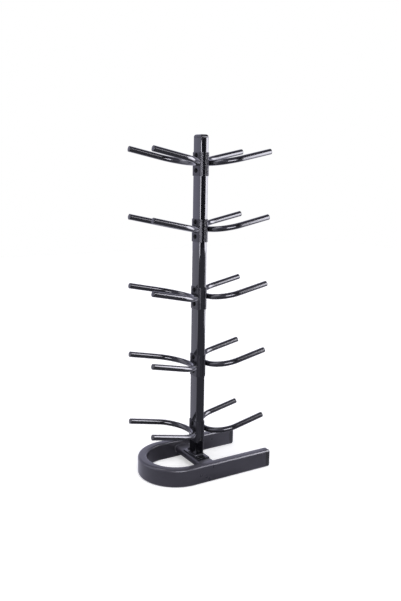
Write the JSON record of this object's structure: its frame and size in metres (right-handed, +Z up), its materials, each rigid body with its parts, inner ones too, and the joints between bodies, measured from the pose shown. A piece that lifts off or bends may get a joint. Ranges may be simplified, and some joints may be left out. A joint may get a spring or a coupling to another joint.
{
  "type": "medicine ball rack",
  "caption": "Free-standing steel rack: rectangular post on a horseshoe base, with U-bent tube cradles on both sides that hold medicine balls one above another.",
  "frame": {"origin": "floor level, at the middle of the rack's footprint; the post's axis stands 5.3 mm to the left of it", "axes": "+Z up along the post; +X right, along the arms and towards the open ends of the base's legs; -Y front"},
  "size_m": [0.5714, 0.334, 1.4568],
  "materials": {
    "post_coat": "satin black powder coat",
    "arm_coat": "gloss black powder coat",
    "bracket_coat": "satin black powder coat",
    "base_coat": "satin black powder coat",
    "cap_plastic": "black moulded plastic",
    "bolt_metal": "black oxide"
  },
  "bodies": {
    "root": {"base_frame": "base_coat", "base_crossbeam": "base_coat", "base_end_cap_front": "cap_plastic", "base_end_cap_back": "cap_plastic", "post_foot_plate": "post_coat", "foot_bolt_front": "bolt_metal", "foot_bolt_back": "bolt_metal", "post": "post_coat", "post_top_cap": "cap_plastic", "tier_1_bracket_left": "bracket_coat", "tier_1_bracket_right": "bracket_coat", "tier_1_bolt_upper": "bolt_metal", "tier_1_bolt_lower": "bolt_metal", "tier_1_arm_left": "arm_coat", "tier_1_arm_left_cap_front": "cap_plastic", "tier_1_arm_left_cap_back": "cap_plastic", "tier_1_arm_right": "arm_coat", "tier_1_arm_right_cap_front": "cap_plastic", "tier_1_arm_right_cap_back": "cap_plastic", "tier_2_bracket_left": "bracket_coat", "tier_2_bracket_right": "bracket_coat", "tier_2_bolt_upper": "bolt_metal", "tier_2_bolt_lower": "bolt_metal", "tier_2_arm_left": "arm_coat", "tier_2_arm_left_cap_front": "cap_plastic", "tier_2_arm_left_cap_back": "cap_plastic", "tier_2_arm_right": "arm_coat", "tier_2_arm_right_cap_front": "cap_plastic", "tier_2_arm_right_cap_back": "cap_plastic", "tier_3_bracket_left": "bracket_coat", "tier_3_bracket_right": "bracket_coat", "tier_3_bolt_upper": "bolt_metal", "tier_3_bolt_lower": "bolt_metal", "tier_3_arm_left": "arm_coat", "tier_3_arm_left_cap_front": "cap_plastic", "tier_3_arm_left_cap_back": "cap_plastic", "tier_3_arm_right": "arm_coat", "tier_3_arm_right_cap_front": "cap_plastic", "tier_3_arm_right_cap_back": "cap_plastic", "tier_4_bracket_left": "bracket_coat", "tier_4_bracket_right": "bracket_coat", "tier_4_bolt_upper": "bolt_metal", "tier_4_bolt_lower": "bolt_metal", "tier_4_arm_left": "arm_coat", "tier_4_arm_left_cap_front": "cap_plastic", "tier_4_arm_left_cap_back": "cap_plastic", "tier_4_arm_right": "arm_coat", "tier_4_arm_right_cap_front": "cap_plastic", "tier_4_arm_right_cap_back": "cap_plastic", "tier_5_bracket_left": "bracket_coat", "tier_5_bracket_right": "bracket_coat", "tier_5_bolt_upper": "bolt_metal", "tier_5_bolt_lower": "bolt_metal", "tier_5_arm_left": "arm_coat", "tier_5_arm_left_cap_front": "cap_plastic", "tier_5_arm_left_cap_back": "cap_plastic", "tier_5_arm_right": "arm_coat", "tier_5_arm_right_cap_front": "cap_plastic", "tier_5_arm_right_cap_back": "cap_plastic"}
  },
  "joints": []
}
